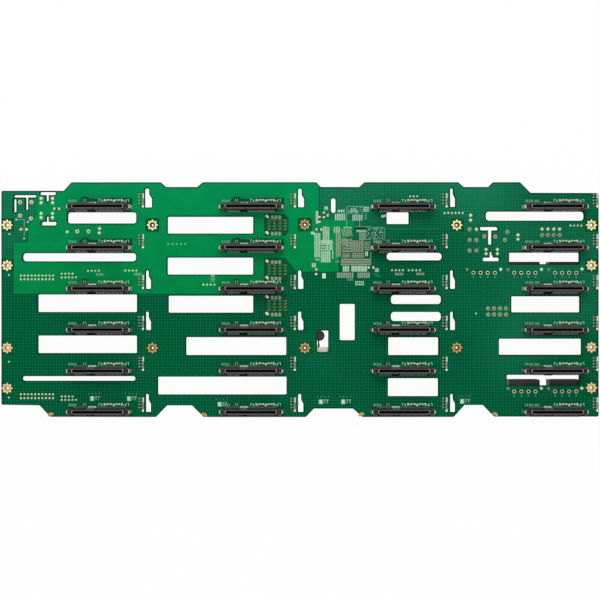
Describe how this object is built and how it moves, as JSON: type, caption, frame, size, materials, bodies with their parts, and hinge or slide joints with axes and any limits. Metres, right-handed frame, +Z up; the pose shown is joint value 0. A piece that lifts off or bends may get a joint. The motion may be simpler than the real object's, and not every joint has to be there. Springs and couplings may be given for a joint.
{
  "type": "drive backplane board",
  "caption": "Green drive backplane board with rows of slotted drive connectors, long air windows, keyhole slots and notched edges, and power and data headers on its rear side.",
  "frame": {"origin": "below the middle of the board's outline, on the surface that the rear parts rest on", "axes": "+X along the board's long side, +Y towards the edge above the first row of connectors, +Z up out of the drive side"},
  "size_m": [0.4154, 0.1632, 0.0242],
  "materials": {
    "solder_mask": "semi-gloss green solder mask over glass-epoxy laminate",
    "connector_nylon": "matte black",
    "black_nylon": "matte black",
    "cream_nylon": "matte cream",
    "tinned_metal": "dull tin",
    "gilt_pins": "polished gilt",
    "lamp_resin": "clear-topped",
    "chip_resin": "matte dark grey",
    "bare_aluminium": "satin",
    "cage_steel": "satin",
    "capacitor_can": "satin",
    "capacitor_sleeve": "gloss black",
    "ferrite": "matte dark grey"
  },
  "bodies": {
    "root": {"box_header_lower": "black_nylon", "box_header_upper": "black_nylon", "cable_header_1": "black_nylon", "cable_header_2": "black_nylon", "capacitor_1": "capacitor_can", "capacitor_2": "capacitor_can", "capacitor_3": "capacitor_can", "capacitor_4": "capacitor_can", "capacitor_bases": "black_nylon", "choke_left": "ferrite", "choke_right": "ferrite", "circuit_board": "solder_mask", "contact_tails_1": "tinned_metal", "contact_tails_2": "tinned_metal", "contact_tails_3": "tinned_metal", "contact_tails_4": "tinned_metal", "controller_chip": "chip_resin", "data_connector_1": "cage_steel", "data_connector_2": "cage_steel", "data_connector_3": "cage_steel", "drive_connector_1_1": "connector_nylon", "drive_connector_1_2": "connector_nylon", "drive_connector_1_3": "connector_nylon", "drive_connector_1_4": "connector_nylon", "drive_connector_1_5": "connector_nylon", "drive_connector_1_6": "connector_nylon", "drive_connector_2_1": "connector_nylon", "drive_connector_2_2": "connector_nylon", "drive_connector_2_3": "connector_nylon", "drive_connector_2_4": "connector_nylon", "drive_connector_2_5": "connector_nylon", "drive_connector_2_6": "connector_nylon", "drive_connector_3_1": "connector_nylon", "drive_connector_3_2": "connector_nylon", "drive_connector_3_3": "connector_nylon", "drive_connector_3_4": "connector_nylon", "drive_connector_3_5": "connector_nylon", "drive_connector_3_6": "connector_nylon", "drive_connector_4_1": "connector_nylon", "drive_connector_4_2": "connector_nylon", "drive_connector_4_3": "connector_nylon", "drive_connector_4_4": "connector_nylon", "drive_connector_4_5": "connector_nylon", "drive_connector_4_6": "connector_nylon", "fan_header": "cream_nylon", "header_pins": "gilt_pins", "heat_sink": "bare_aluminium", "line_fuses": "chip_resin", "nine_pin_header_lower": "black_nylon", "nine_pin_header_upper": "black_nylon", "pin_strips": "black_nylon", "power_header_1": "black_nylon", "power_header_2": "black_nylon", "power_header_3": "black_nylon", "power_header_4": "black_nylon", "power_header_5": "black_nylon", "round_capacitor": "capacitor_sleeve", "solder_tabs": "tinned_metal", "status_lamps": "lamp_resin"}
  },
  "joints": []
}
